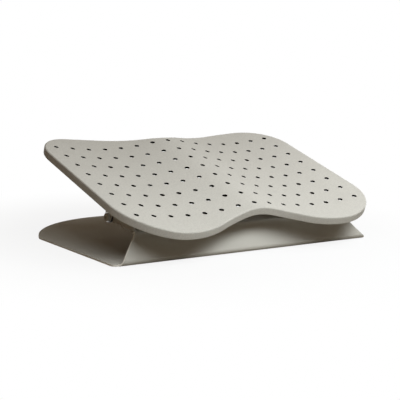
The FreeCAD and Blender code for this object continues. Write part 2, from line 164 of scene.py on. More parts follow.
class HingeRailSizes(PropertyGroup):
    sheet: length("Sheet", "Thickness of the strip", 0.0025)
    bend: length("Bend", "Inside radius of the folds", 0.002)
    top: length("Top", "Seat for the board's bosses, above the hinge line", 0.0225)
    width: length("Width", "Across the channel", 0.03)
    flange_height: length("Flanges", "Height of the channel's sides", 0.0075)
    tongue_width: length("Tongues", "Width of the strip beyond the channel", 0.021)
    tongue_length: length("Tongue length", "From the end of the channel's sides to the lug", 0.025)
    lug_radius: length("Lug radius", "Round end of each lug", 0.0075)
    lug_shoulder: length("Lug shoulder", "Height of each lug's full width, below the strip", 0.0075)
    lug_gap: length("Lug gap", "From the base sheet's ear to the lug, with the bush flange between", 0.00205)
    bush_bore: length("Bush bore", "Radius of the holes for the bushes", 0.00505)
    screw_bore: length("Screw bore", "Radius of the holes for the rail screws", 0.00225)
    edge_round: length("Edge rounding", "Softened edges of the cut strip", 0.0003)
    fineness: length("Fineness", "Largest gap between an arc and its chords", 0.00002)


class FinishColours(PropertyGroup):
    board: colour("Board", "Moulded plastic of the foot board", (0.625, 0.60, 0.55))
    coating: colour("Coating", "Powder coat of the base and the rail", (0.575, 0.55, 0.50))
    rubber: colour("Rubber", "Foot and stop pads", (0.03, 0.03, 0.029))
    bush: colour("Bush", "Black hinge bushes", (0.035, 0.034, 0.033))
    zinc: colour("Zinc", "Plated screws, washers, springs and nuts", (0.62, 0.62, 0.60))


class StageSizes(PropertyGroup):
    azimuth: turn("Azimuth", "Camera direction round the footrest", -36.181)
    elevation: turn("Elevation", "Camera direction above the horizon", 9.07)
    roll: turn("Roll", "Turn of the camera about its own line of sight", -1.939)
    place: FloatVectorProperty(name="Camera place", description="Where the camera stands",
                               default=(-1.04243, -1.43768, 0.34411), subtype="XYZ", unit="LENGTH")
    lens: FloatProperty(name="Lens", description="Focal length in millimetres", default=94.63, min=1.0)
    sensor: FloatProperty(name="Sensor", description="Sensor width in millimetres", default=36.0, min=1.0)
    nearest: length("Nearest", "Nearest distance that the camera sees", 0.05)
    farthest: length("Farthest", "Farthest distance that the camera sees", 50.0)
    floor: length("Floor", "Side of the floor", 12.0)
    floor_drop: length("Floor drop", "Floor below the foot pads", 0.0002)
    seen_floor: share("Seen floor", "Grey of the floor's paint, as the camera sees it", 0.85)
    whiteness: share("Whiteness", "Share of plain white in the floor near the footrest, as seen", 0.88)
    fade_start: length("Fade start", "Where the floor starts to turn plain white", 0.25)
    fade_end: length("Fade end", "Where the floor is plain white", 0.55)
    carpet: colour("Carpet", "Floor below and behind the base, as the footrest sees it", (0.23, 0.165, 0.10))
    forecourt: colour("Forecourt", "Floor in front of the base, as the footrest sees it", (0.34, 0.31, 0.27))
    front_line: FloatProperty(name="Front line", description="Where the floor in front of the base starts",
                              default=-0.156, unit="LENGTH")
    room: colour("Room", "Light from all round, as the footrest sees it", (0.08, 0.05, 0.02))


# Selecting, editing and joining


def only(piece):
    """Selects one object and makes it the active one."""
    bpy.ops.object.select_all(action="DESELECT")
    piece.select_set(True)
    bpy.context.view_layer.objects.active = piece


def name_piece(name):
    piece = bpy.context.object
    piece.name = name
    piece.data.name = name
    return piece


def edit(piece, kind="VERT"):
    """Enters edit mode with everything selected."""
    only(piece)
    bpy.ops.object.mode_set(mode="EDIT")
    bpy.ops.mesh.select_mode(type=kind)
    bpy.ops.mesh.select_all(action="SELECT")


def leave():
    bpy.ops.object.mode_set(mode="OBJECT")


def face_outwards():
    """Turns all faces outwards, in edit mode."""
    bpy.ops.mesh.select_all(action="SELECT")
    bpy.ops.mesh.normals_make_consistent(inside=False)


def pick(piece, kind, test):
    """Selects in edit mode the vertices, edges or faces that pass a test, and nothing else."""
    bpy.ops.mesh.select_mode(type=kind)
    bpy.ops.mesh.select_all(action="DESELECT")
    mesh = bmesh.from_edit_mesh(piece.data)
    parts = {"VERT": mesh.verts, "EDGE": mesh.edges, "FACE": mesh.faces}[kind]
    found = [part for part in parts if test(part)]
    for part in found:
        part.select_set(True)
    mesh.select_flush_mode()
    bmesh.update_edit_mesh(piece.data)
    if not found:
        raise RuntimeError(f"nothing to shape was found on {piece.name}")


def push(x, y, z):
    bpy.ops.mesh.extrude_region_move(TRANSFORM_OT_translate={"value": (x, y, z)})


def thicken(piece, x, y, z):
    """Pushes a flat face out into a solid."""
    edit(piece, "FACE")
    push(x, y, z)
    face_outwards()
    leave()


def apply_modifier(piece, kind, **values):
    only(piece)
    modifier = piece.modifiers.new(kind.title(), kind)
    for key, value in values.items():
        setattr(modifier, key, value)
    bpy.ops.object.modifier_apply(modifier=modifier.name)


def join_to(piece, others):
    only(piece)
    for other in others:
        other.select_set(True)
    bpy.ops.object.join()
    return piece


def combine(piece, tool, operation, overlapping=False):
    """Adds a second solid, cuts it away or keeps what both share, and removes the second one."""
    apply_modifier(piece, "BOOLEAN", operation=operation, object=tool, solver="EXACT", use_self=overlapping)
    bpy.data.objects.remove(tool)


def clean(piece):
    """Merges doubled points, drops empty faces and turns all faces outwards."""
    edit(piece)
    bpy.ops.mesh.remove_doubles(threshold=same_point)
    bpy.ops.mesh.dissolve_degenerate(threshold=10 * same_point)
    face_outwards()
    leave()


def smooth(piece, degrees=32.0):
    """Soft shading across the small roundings, flat shading on the faces between them."""
    only(piece)
    bpy.ops.object.shade_smooth_by_angle(angle=math.radians(degrees))
    apply_modifier(piece, "WEIGHTED_NORMAL", keep_sharp=True, weight=70)


def settle(piece):
    """Puts a piece's place, turn and scale into its mesh."""
    only(piece)
    bpy.ops.object.transform_apply()


def finish_piece(piece, body, material, nodes):
    piece.data.materials.clear()
    piece.data.materials.append(material)
    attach(piece, body)
    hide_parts(*nodes)


# Outlines, drawn by spinning a point round each arc


def first_point(name, place):
    """A mesh of one vertex, left in edit mode."""
    bpy.ops.mesh.primitive_circle_add(vertices=3, location=(0.0, 0.0, 0.0))
    piece = name_piece(name)
    edit(piece)
    bpy.ops.mesh.merge(type="CENTER")
    mesh = bmesh.from_edit_mesh(piece.data)
    mesh.verts.ensure_lookup_table()
    mesh.verts[0].co = place
    bmesh.update_edit_mesh(piece.data)
    return piece


def polar(centre, radius, angle):
    return (centre[0] + radius * math.cos(angle), centre[1] + radius * math.sin(angle))


def chords(radius, angle, fineness):
    """How many chords keep this near to the arc."""
    return max(2, math.ceil(abs(angle) / (2 * math.acos(1 - fineness / radius))))


def draw(name, steps, plane, level, fineness=fine):
    """A line of points on a plane. A step is a point, or an arc: centre, radius, start angle, end angle."""
    across, upward = (Vector(direction) for direction in plane)
    normal = across.cross(upward)
    piece = None
    for step in steps:
        begin = end = step
        if len(step) == 4:
            centre, radius, first, final = step
            begin = polar(centre, radius, first)
            end = polar(centre, radius, final)
        if piece is None:
            piece = first_point(name, across * begin[0] + upward * begin[1] + normal * level)
        elif math.dist(last, begin) > same_point:
            push(*(across * (begin[0] - last[0]) + upward * (begin[1] - last[1])))
        if len(step) == 4:
            middle = across * centre[0] + upward * centre[1] + normal * level
            count = chords(radius, final - first, fineness)
            bpy.ops.mesh.spin(steps=count, angle=first - final, center=middle, axis=normal)
        last = end
    leave()
    return piece


def fill(piece):
    """Closes a drawn line and turns it into one face."""
    edit(piece)
    bpy.ops.mesh.remove_doubles(threshold=same_point)
    bpy.ops.mesh.edge_face_add()
    leave()


def solid(name, steps, plane, level, depth, fineness=fine):
    """The drawn face, pushed square to its plane."""
    piece = draw(name, steps, plane, level, fineness)
    fill(piece)
    thicken(piece, *(Vector(plane[0]).cross(Vector(plane[1])) * depth))
    return piece


def board_outline(sizes, name, inset, z):
    """The butterfly outline, inside the board's edge by the inset, as one filled face."""
    arcs = []
    ends = ((1, sizes.lobe_back, sizes.waist_back, sizes.flank_back, sizes.notch_back, sizes.corner_back),
            (-1, sizes.lobe_front, sizes.waist_front, sizes.flank_front, sizes.notch_front,
             sizes.corner_front))
    for end, lobe, waist, flank, notch_share, corner_share in ends:
        bend = flank * 2 * math.atan((lobe - waist) / sizes.lobe_x)
        radii = (sizes.lobe_x * math.tan(bend) - lobe + waist) / (1 / math.cos(bend) - 1)
        hollow = notch_share * radii
        swell = radii - hollow
        corner = corner_share * (sizes.width / 2 - sizes.lobe_x)
        half = [((0.0, end * (waist + hollow)), hollow + inset, -end * up, -end * (up - bend)),
                ((sizes.lobe_x, end * (lobe - swell)), swell - inset, end * (up + bend), end * up),
                ((sizes.width / 2 - corner, end * (lobe - corner)), corner - inset, end * up, 0.0)]
        if end < 0:
            half = [(centre, radius, finish, start) for centre, radius, start, finish in reversed(half)]
        arcs += half
    piece = draw(name, arcs, from_above, z)
    apply_modifier(piece, "MIRROR", merge_threshold=same_middle)
    fill(piece)
    return piece


# Foot board


def wave_height(sizes, x, depth=0.0):
    """Height against the ridge, a depth below the top and square to it."""
    x = abs(x)
    bend = 2 * math.atan(sizes.trough_depth / sizes.trough_x)
    trough_radius = sizes.trough_x / math.sin(bend) - sizes.ridge_radius
    wing_angle = math.asin((sizes.wing_x - sizes.trough_x) / trough_radius)
    ridge = sizes.ridge_radius - depth
    if x < ridge * math.sin(bend):
        return math.sqrt(ridge ** 2 - x ** 2) - sizes.ridge_radius
    trough = trough_radius + depth
    centre = trough_radius - sizes.trough_depth
    wing_start = sizes.trough_x + trough * math.sin(wing_angle)
    if x < wing_start:
        return centre - math.sqrt(trough ** 2 - (x - sizes.trough_x) ** 2)
    return centre - trough * math.cos(wing_angle) + (x - wing_start) * math.tan(wing_angle)


def board_pan(sizes):
    """The flat pan: top, rounded rim and skirt."""
    pan = board_outline(sizes, "foot_board", 0.0, 0.0)
    edit(pan, "FACE")
    push(0.0, 0.0, -sizes.skirt_depth)
    bpy.ops.mesh.inset(thickness=sizes.wall)
    push(0.0, 0.0, sizes.skirt_depth - sizes.wall)
    face_outwards()

    def at_height(edge, height):
        return all(abs(vert.co.z - height) < same_point for vert in edge.verts)

    def on_rim(edge):
        stands = any(abs(face.normal.z) < skirt_rise for face in edge.link_faces)
        return at_height(edge, -sizes.skirt_depth) and len(edge.link_faces) == 2 and stands

    pick(pan, "EDGE", lambda edge: at_height(edge, 0.0))
    bpy.ops.mesh.bevel(offset=sizes.top_round, segments=5)
    pick(pan, "EDGE", on_rim)
    bpy.ops.mesh.bevel(offset=sizes.skirt_round, segments=3)
    leave()
    return pan


def column_pitch(sizes):
    """Distance between the columns of holes."""
    return (sizes.width - 2 * sizes.hole_side_margin) / (sizes.hole_columns - 1)


def hole_place(sizes, column, row):
    """The middle of a hole, counted from the front left one."""
    return ((column - (sizes.hole_columns - 1) / 2) * column_pitch(sizes),
            (row - (sizes.hole_rows - 1) / 2) * sizes.hole_pitch_y)


def round_cutter(name, rings, sides=24):
    """A round solid, from its lowest ring up. A ring is a radius and a height."""
    radius, height = rings[0]
    bpy.ops.mesh.primitive_circle_add(vertices=sides, radius=radius, fill_type="NGON",
                                      location=(0.0, 0.0, height))
    cutter = name_piece(name)
    settle(cutter)
    edit(cutter, "FACE")
    for wider, higher in rings[1:]:
        push(0.0, 0.0, higher - height)
        bpy.ops.transform.resize(value=(wider / radius, wider / radius, 1.0))
        radius, height = wider, higher
    face_outwards()
    leave()
    return cutter


def hole_rings(sizes):
    """A perforation, from below: straight wall and rounded lip, drawn on past the top."""
    radius = sizes.hole_diameter / 2
    lip = sizes.hole_lip
    rings = [(radius, -sizes.skirt_depth)]
    for step in range(lip_steps + 1):
        angle = step / lip_steps * lip_turn
        rings.append((radius + lip * (1 - math.cos(angle)), lip * (math.sin(angle) - 1)))
    return rings + [(radius + lip, lip * lip_overrun)]


def copies(piece, places):
    """The piece at each of the places, each copy with a mesh of its own, joined."""
    made = []
    for x, y in places:
        twin = piece.copy()
        twin.data = piece.data.copy()
        twin.data.transform(Matrix.Translation((x, y, 0.0)))
        bpy.context.scene.collection.objects.link(twin)
        made.append(twin)
    bpy.data.objects.remove(piece)
    return join_to(made[0], made[1:])


def bar(low, high):
    bpy.ops.mesh.primitive_cube_add(size=1.0, location=(Vector(low) + Vector(high)) / 2)
    piece = name_piece("rib")
    piece.scale = Vector(high) - Vector(low)
    settle(piece)
    return piece


def board_ribs(sizes):
    """The grid of ribs below the wall, cut to the inside of the skirt."""
    rooted = sizes.wall - sizes.rooting
    block = board_outline(sizes, "rib_block", rooted, -rooted)
    thicken(block, 0.0, 0.0, rooted - sizes.wall - sizes.rib_depth)
    reach = sizes.rib_thickness / 2
    far = sizes.width / 2 + overrun
    bars = []
    for column in range(0, (sizes.hole_columns - 1) // 2, 2):
        for side in (-1, 1):
            x = side * (column + 0.5) * column_pitch(sizes)
            bars.append(bar((x - reach, -far, -2 * overrun), (x + reach, far, 2 * overrun)))
    half_rows = sizes.hole_rows // 2
    for row in range(2 - half_rows, half_rows, 2):
        y = row * sizes.hole_pitch_y
        bars.append(bar((-far, y - reach, -overrun), (far, y + reach, overrun)))
    grid = join_to(bars[0], bars[1:])
    combine(block, grid, "INTERSECT", overlapping=True)
    return block


def boss_places(sizes):
    """Places across the board of its bosses, each below a rib."""
    return [side * (columns + 0.5) * column_pitch(sizes) for side in (-1, 1) for columns in (0, 2, 4)]


def paint_hole_shade(piece, sizes):
    """An attribute that is one on the walls and lips of the holes, the faces with all corners in one hole,
    which the board's finish paints with painted shade.
    """
    last_column = sizes.hole_columns - 1
    last_row = sizes.hole_rows - 1
    reach = sizes.hole_diameter / 2 + sizes.hole_lip
    # Painted shade: the faces marked here are painted near black, standing in for the deep shade inside the
    # holes
    marks = piece.data.attributes.new("bore", "FLOAT", "FACE")
    for face in piece.data.polygons:
        column = round(face.center.x / column_pitch(sizes) + last_column / 2)
        row = round(face.center.y / sizes.hole_pitch_y + last_row / 2)
        middle = Vector(hole_place(sizes, min(max(column, 0), last_column), min(max(row, 0), last_row)))
        corners = [piece.data.vertices[index].co.to_2d() for index in face.vertices]
        marks.data[face.index].value = float(all((corner - middle).length < reach for corner in corners))


def bend_to_wave(piece, sizes):
    """Cuts the flat board into strips across the wave, then lifts each point to its height.

    Points lower than both the skirt and the ends of the bosses' bores are the bosses' feet, on the rail.
    """
    edit(piece)
    count = math.ceil(sizes.wing_x / sizes.strip)
    for index in range(-count, count + 1):
        bpy.ops.mesh.select_all(action="SELECT")
        bpy.ops.mesh.bisect(plane_co=(index * sizes.wing_x / count, 0.0, 0.0), plane_no=(1.0, 0.0, 0.0))
    mesh = bmesh.from_edit_mesh(piece.data)
    for vert in mesh.verts:
        below_skirt = vert.co.z < -sizes.skirt_depth - same_point
        below_bores = vert.co.z + wave_height(sizes, vert.co.x) < sizes.pilot_depth / 2 - sizes.seat_drop
        foot = below_skirt and below_bores
        vert.co.z = -sizes.seat_drop if foot else wave_height(sizes, vert.co.x, -vert.co.z)
    bmesh.update_edit_mesh(piece.data)
    leave()


class FOOTREST_OT_foot_board(Operator):
    """Model the wave-shaped board with its skirt, holes, ribs and bosses"""

    bl_idname = "footrest.foot_board"
    bl_label = "Foot board"

    def execute(self, context):
        sizes = context.scene.foot_board_sizes
        board = board_pan(sizes)
        combine(board, board_ribs(sizes), "UNION")

        rooted = sizes.wall - sizes.rooting
        bosses = []
        pilots = []
        for x in boss_places(sizes):
            place = (x, -sizes.pivot_forward)
            seat = -sizes.seat_drop - wave_height(sizes, x)
            radius = sizes.boss_diameter / 2
            boss = round_cutter("boss", [(radius, seat), (radius, -rooted)], sides=32)
            bosses.append(copies(boss, [place]))
            radius = sizes.pilot_diameter / 2
            pilot = round_cutter("pilot", [(radius, seat - overrun), (radius, seat + sizes.pilot_depth)])
            pilots.append(copies(pilot, [place]))
        combine(board, join_to(bosses[0], bosses[1:]), "UNION")

        places = [hole_place(sizes, column, row) for column in range(sizes.hole_columns)
                  for row in range(sizes.hole_rows)]
        holes = copies(round_cutter("hole", hole_rings(sizes)), places)
        combine(board, join_to(holes, pilots), "DIFFERENCE")

        bend_to_wave(board, sizes)
        clean(board)
        paint_hole_shade(board, sizes)
        smooth(board)
        offset = Matrix.Rotation(sizes.tilt, 3, "X") @ Vector((0.0, sizes.pivot_forward, sizes.pivot_drop))
        board.rotation_euler = (sizes.tilt, 0.0, 0.0)
        board.location = hinge + offset
        settle(board)
        finish_piece(board, "foot_board", board_plastic(context.scene.finish_colours),
                     ["pedal_board"])
        return {"FINISHED"}


# Base sheet


def folded_sheet(sizes):
    """Floor plate, front bend, leaning wall and shelf, as one folded strip of full width."""
    outer = sizes.sheet + sizes.bend
    nose = (-sizes.plate_front, sizes.pad_height + outer)
    crown_height = sizes.shelf_height - outer
    crown = (nose[0] + (crown_height - nose[1]) * math.tan(sizes.wall_lean), crown_height)
    face = math.pi - sizes.wall_lean
    section = [(sizes.plate_back, sizes.pad_height), (nose, outer, -up, -2 * up - sizes.wall_lean),
               (crown, outer, face, up), (-sizes.shelf_back, sizes.shelf_height),
               (-sizes.shelf_back, sizes.shelf_height - sizes.sheet), (crown, sizes.bend, up, face),
               (nose, sizes.bend, -2 * up - sizes.wall_lean, -up),
               (sizes.plate_back, sizes.pad_height + sizes.sheet)]
    return solid("base_sheet", section, from_right, -sizes.width / 2, sizes.width, sizes.fineness)


def round_plate_corners(sheet, sizes):
    """Cuts the plate to its outline."""
    half = sizes.width / 2
    small = sizes.side_corner
    wide = sizes.back_corner
    front = sizes.front_corner
    step = wide - small
    side_back = sizes.plate_back - wide + step * math.sin(sizes.side_turn)
    back_side = half - small - step * math.cos(sizes.side_turn)
    ahead = -sizes.plate_front - overrun
    plan = [(front - half, ahead), (half - front, ahead),
            ((half - front, front - sizes.plate_front), front, -up, 0.0),
            ((half - small, side_back), small, 0.0, sizes.side_turn),
            ((back_side, sizes.plate_back - wide), wide, sizes.side_turn, up),
            ((-back_side, sizes.plate_back - wide), wide, up, 2 * up - sizes.side_turn),
            ((small - half, side_back), small, 2 * up - sizes.side_turn, 2 * up),
            ((front - half, front - sizes.plate_front), front, 2 * up, 3 * up)]
    top = sizes.pad_height + sizes.sheet + sizes.bend
    inside = solid("plan", plan, from_above, -2 * overrun, top + 3 * overrun, sizes.fineness)
    outside = bar((-half - overrun, -sizes.plate_front - lap, -overrun),
                  (half + overrun, sizes.plate_back + overrun, top))
    combine(outside, inside, "DIFFERENCE")
    combine(sheet, outside, "DIFFERENCE")


def wall_ends(sizes):
    """Half the wall's width at its foot and at its crest, and the slope of its ends."""
    root = sizes.width / 2 - sizes.front_corner
    slope = math.tan(sizes.wall_taper) / math.cos(sizes.wall_lean)
    return root, root - (sizes.shelf_height - sizes.pad_height) * slope, slope


def taper_wall(sheet, sizes):
    """Slants both ends of the front bend and the wall."""
    root, crest, slope = wall_ends(sizes)
    reach = sizes.width / 2 + overrun
    top = sizes.shelf_height + overrun
    low = sizes.pad_height + sizes.sheet + sizes.bend
    for side in (-1, 1):
        ends = [(side * (root + overrun * slope), sizes.pad_height - overrun), (side * reach, -overrun),
                (side * reach, top), (side * (crest - overrun * slope), top)]
        wedge = solid("wedge", ends, from_front, 0.0, sizes.plate_front + overrun)
        combine(wedge, bar((-reach, -sizes.plate_front, -2 * overrun), (reach, overrun, low)), "DIFFERENCE")
        combine(sheet, wedge, "DIFFERENCE")


def fold_ears(sheet, sizes):
    """Folds an ear up from each end of the shelf, with its stop edges and the hinge hole in its nose."""
    outer = sizes.sheet + sizes.bend
    outside = wall_ends(sizes)[1] - sizes.ear_inset
    inside = outside - sizes.sheet
    shelf_end = inside - sizes.bend
    fold = (shelf_end, sizes.shelf_height + sizes.bend)
    top = sizes.pivot_height + sizes.stop_height + overrun
    for side in (-1, 1):
        low, high = sorted((side * shelf_end, side * sizes.width / 2))
        notch = bar((low, -sizes.ear_front - sizes.relief, sizes.shelf_height - outer), (high, overrun, top))
        combine(sheet, notch, "DIFFERENCE")

    root = shelf_end - sizes.sheet
    bend = [(root, sizes.shelf_height - sizes.sheet), (fold, outer, -up, 0.0), (outside, top), (inside, top),
            (fold, sizes.bend, 0.0, -up), (root, sizes.shelf_height)]
    ear = solid("ear", bend, from_front, sizes.ear_front, -sizes.ear_front - overrun, sizes.fineness)
    pivot = (0.0, sizes.pivot_height)
    front_touch = polar(pivot, sizes.stop_height, up + sizes.travel)
    front_end = polar(front_touch, sizes.stop_flat, 2 * up + sizes.travel)
    back_end = polar(polar(pivot, sizes.stop_height, up), sizes.ear_nose, 0.0)
    profile = [(-sizes.ear_front, fold[1]), (pivot, sizes.ear_nose, -up, 0.0), back_end,
               (pivot, sizes.stop_height, up, up + sizes.travel), front_end,
               (-sizes.ear_front, fold[1] + sizes.relief)]
    keep = solid("profile", profile, from_right, 0.0, outside + overrun, sizes.fineness)
    foot = bar((off_middle, -sizes.ear_front, 0.0),
               (outside + overrun / 2, -sizes.shelf_back, fold[1] + sizes.relief / 2))
    combine(keep, foot, "UNION")
    combine(ear, keep, "INTERSECT")
    hole = solid("hole", [(pivot, sizes.ear_hole, 0.0, 4 * up)], from_right, 0.0, outside + overrun,
                 sizes.fineness)
    combine(ear, hole, "DIFFERENCE")
    apply_modifier(ear, "MIRROR", use_mirror_merge=False)
    combine(sheet, ear, "UNION")


def soften_edges(piece, radius, degrees=50.0):
    """Rounds every sharp edge of a cut sheet."""
    clean(piece)
    edit(piece, "EDGE")
    bpy.ops.mesh.dissolve_limited(angle_limit=same_face)
    sharp = math.radians(degrees)
    pick(piece, "EDGE", lambda edge: edge.calc_face_angle(0.0) > sharp)
    bpy.ops.mesh.bevel(offset=radius, segments=2)
    leave()
    clean(piece)


def paint_edge_highlights(sheet, sizes):
    """An attribute that is one on the cut edges of the plate and of the wall's ends, which the powder coat
    paints paler as a painted highlight.
    """
    marks = sheet.data.attributes.new("cut_edge", "FLOAT", "FACE")
    plate_top = sizes.pad_height + sizes.sheet
    for face in sheet.data.polygons:
        rim = abs(face.normal.z) < rim_rise and face.center.z < plate_top
        end = abs(face.normal.x) > end_across and face.center.z < sizes.shelf_height - sizes.sheet
        marks.data[face.index].value = float(rim or end)


class FOOTREST_OT_base_sheet(Operator):
    """Model the sheet that is bent into plate, wall, shelf and ears"""

    bl_idname = "footrest.base_sheet"
    bl_label = "Base sheet"

    def execute(self, context):
        sizes = context.scene.base_sheet_sizes
        sheet = folded_sheet(sizes)
        round_plate_corners(sheet, sizes)
        taper_wall(sheet, sizes)
        fold_ears(sheet, sizes)
        soften_edges(sheet, sizes.edge_round)
        paint_edge_highlights(sheet, sizes)
        smooth(sheet)
        sheet.location = (0.0, hinge.y, 0.0)
        settle(sheet)
        finish_piece(sheet, "base", powder_coat(context.scene.finish_colours), ["base_sheet"])
        return {"FINISHED"}


# Hinge rail


def rail_channel(sizes, reach):
    """The channel between the tongues."""
    under = sizes.top - sizes.sheet
    outer = sizes.sheet + sizes.bend
    half = sizes.width / 2
    rim = under + sizes.flange_height
    right = (half - outer, under + outer)
    left = (outer - half, under + outer)
    section = [(right, outer, -up, 0.0), (half, rim), (half - sizes.sheet, rim),
               (right, sizes.bend, 0.0, -up), (left, sizes.bend, -up, -2 * up), (sizes.sheet - half, rim),
               (-half, rim), (left, outer, -2 * up, -up)]
    return solid("hinge_rail", section, from_right, -reach, 2 * reach, sizes.fineness)


def rail_end(sizes, lug_inside):
    """The right tongue and the lug that is folded down from it, with its bush hole."""
    under = sizes.top - sizes.sheet
    outer = sizes.sheet + sizes.bend
    fold = (lug_inside - sizes.bend, under - sizes.bend)
    root = lug_inside - sizes.tongue_length - sizes.sheet
    strip = [(root, under), (fold, sizes.bend, up, 0.0), (lug_inside, -overrun),
             (lug_inside + sizes.sheet, -overrun), (fold, outer, 0.0, up), (root, sizes.top)]
    end = solid("rail_end", strip, from_front, -overrun, 2 * overrun, sizes.fineness)
    half = sizes.tongue_width / 2
    shoulder = under - sizes.lug_shoulder
    crown = sizes.top + overrun
    profile = [((0.0, 0.0), sizes.lug_radius, -2 * up, 0.0), (half, shoulder), (half, crown), (-half, crown),
               (-half, shoulder)]
    combine(end, solid("lug", profile, from_right, 0.0, lug_inside + overrun, sizes.fineness), "INTERSECT")
    hole = solid("hole", [((0.0, 0.0), sizes.bush_bore, 0.0, 4 * up)], from_right, lug_inside - overrun / 2,
                 overrun, sizes.fineness)
    combine(end, hole, "DIFFERENCE")
    return end


class FOOTREST_OT_hinge_rail(Operator):
    """Model the strip that is folded into a channel with a lug at each end"""

    bl_idname = "footrest.hinge_rail"
    bl_label = "Hinge rail"

    def execute(self, context):
        sizes = context.scene.hinge_rail_sizes
        board = context.scene.foot_board_sizes
        base = context.scene.base_sheet_sizes
        lug_inside = wall_ends(base)[1] - base.ear_inset + sizes.lug_gap
        rail = rail_channel(sizes, lug_inside - sizes.tongue_length)
        end = rail_end(sizes, lug_inside)
        apply_modifier(end, "MIRROR", use_mirror_merge=False)
        combine(rail, end, "UNION")
        rings = [(sizes.screw_bore, 0.0), (sizes.screw_bore, sizes.top + overrun)]
        bore = round_cutter("bore", rings, sides=32)
        combine(rail, copies(bore, [(x, 0.0) for x in boss_places(board)]), "DIFFERENCE")
        soften_edges(rail, sizes.edge_round)
        smooth(rail)
        rail.rotation_euler = (board.tilt, 0.0, 0.0)
        rail.location = hinge
        settle(rail)
        finish_piece(rail, "foot_board", powder_coat(context.scene.finish_colours),
                     ["hinge_rail"])
        return {"FINISHED"}


# Finishes


def is_socket(value):
    return isinstance(value, bpy.types.NodeSocket)


def set_inputs(node, inputs):
    """Links a socket to each named or numbered input, or sets its value."""
    for key, value in inputs.items():
        if is_socket(value):
            node.id_data.links.new(value, node.inputs[key])
        else:
            node.inputs[key].default_value = value


def add_node(tree, kind, inputs=None, **settings):
    node = tree.nodes.new(kind)
    for key, value in settings.items():
        setattr(node, key, value)
    set_inputs(node, inputs or {})
    return node


def empty_tree(owner):
    """The node tree of a material or world, without its first nodes."""
    owner.use_nodes = True
    owner.node_tree.nodes.clear()
    return owner.node_tree


def blend(tree, factor, first, second):
    """A shade between two, each a socket or a colour. The mix node's inputs 6 and 7 are its colours."""
    first, second = (value if is_socket(value) else (*value, 1.0) for value in (first, second))
    inputs = {"Factor": factor, 6: first, 7: second}
    return add_node(tree, "ShaderNodeMix", inputs, data_type="RGBA").outputs[2]


class Finish:
    """A procedural material on object coordinates, with short ways to add its nodes."""

    def __init__(self, name, base):
        self.base = tuple(base)
        self.material = bpy.data.materials.new(name)
        self.tree = empty_tree(self.material)
        self.shader = add_node(self.tree, "ShaderNodeBsdfPrincipled")
        add_node(self.tree, "ShaderNodeOutputMaterial", {"Surface": self.shader.outputs["BSDF"]})
        self.place = add_node(self.tree, "ShaderNodeTexCoord").outputs["Object"]

    def noise(self, size, detail=2.0, roughness=0.5):
        """Noise whose grains are about this long, in metres."""
        inputs = {"Vector": self.place, "Scale": 1.0 / size, "Detail": detail, "Roughness": roughness}
        return add_node(self.tree, "ShaderNodeTexNoise", inputs).outputs["Fac"]

    def spread(self, source, low, high, start=0.3, end=0.7):
        """The source from start to end, by default its middle range, mapped to values from low to high."""
        inputs = {"Value": source, "From Min": start, "From Max": end, "To Min": low, "To Max": high}
        return add_node(self.tree, "ShaderNodeMapRange", inputs).outputs["Result"]

    def mark(self, name):
        """An attribute of the faces."""
        return add_node(self.tree, "ShaderNodeAttribute", attribute_name=name).outputs["Fac"]

    def shade(self, factor):
        """The base colour, this many times as light."""
        return tuple(min(1.0, channel * factor) for channel in self.base)

    def mix(self, factor, first, second):
        """A blend of two, each a socket or a factor of the base colour."""
        first, second = (value if is_socket(value) else self.shade(value) for value in (first, second))
        return blend(self.tree, factor, first, second)

    def clouds(self, size, detail):
        """Slow shifts of shade."""
        return self.mix(self.spread(self.noise(size, detail), 0.0, 1.0), 0.97, 1.02)

    def grain(self, height, distance, strength):
        inputs = {"Height": height, "Distance": distance, "Strength": strength}
        self.set(Normal=add_node(self.tree, "ShaderNodeBump", inputs).outputs["Normal"])

    def set(self, **inputs):
        """Links or sets inputs of the shader, with a _ in place of each space."""
        set_inputs(self.shader, {key.replace("_", " "): value for key, value in inputs.items()})


def board_plastic(colours):
    """Fine-textured moulded plastic: faint clouds, dark specks and a spark-eroded grain, with painted shade
    on the walls of the holes.
    """
    finish = Finish("board_plastic", colours.board)
    mottle = finish.spread(finish.noise(0.0026, detail=3.0, roughness=0.8), 0.0, 1.0, start=0.4, end=0.62)
    specks = finish.spread(finish.noise(0.0009, detail=1.0), 0.0, 0.5, start=0.62, end=0.75)
    speckled = finish.mix(specks, finish.mix(mottle, finish.clouds(0.06, detail=3.0), 0.89), 0.78)
    # Painted shade: the hole walls get 0.02 of the board's colour and no specular, standing in for the shade
    # inside the holes
    bore = finish.mark("bore")
    finish.set(Base_Color=finish.mix(bore, speckled, 0.02),
               Specular_IOR_Level=finish.spread(bore, 0.15, 0.0, start=0.0, end=1.0),
               Roughness=finish.spread(finish.noise(0.02), 0.64, 0.74), IOR=1.46)
    finish.grain(finish.noise(0.0007, detail=3.0, roughness=0.6), distance=0.00012, strength=0.35)
    return finish.material


def powder_coat(colours):
    """Matt powder coat on sheet: a faint orange peel and slow shifts of shade, with a painted highlight on
    the cut edges, paler in colour and with a glossier coat there.
    """
    finish = Finish("powder_coat", colours.coating)
    specks = finish.spread(finish.noise(0.0006, detail=1.0), 0.0, 0.4, start=0.6, end=0.75)
    speckled = finish.mix(specks, finish.clouds(0.08, detail=2.0), 0.82)
    # Painted highlight: the cut edges are painted 1.6 times as pale as the coat; their higher specular is a
    # glossier coat that reflects the white surroundings
    edge = finish.mark("cut_edge")
    finish.set(Base_Color=finish.mix(edge, speckled, 1.6),
               Specular_IOR_Level=finish.spread(edge, 0.04, 0.5, start=0.0, end=1.0),
               Roughness=finish.spread(finish.noise(0.015), 0.72, 0.82), IOR=1.5)
    finish.grain(finish.noise(0.0014), distance=0.00008, strength=0.3)
    return finish.material


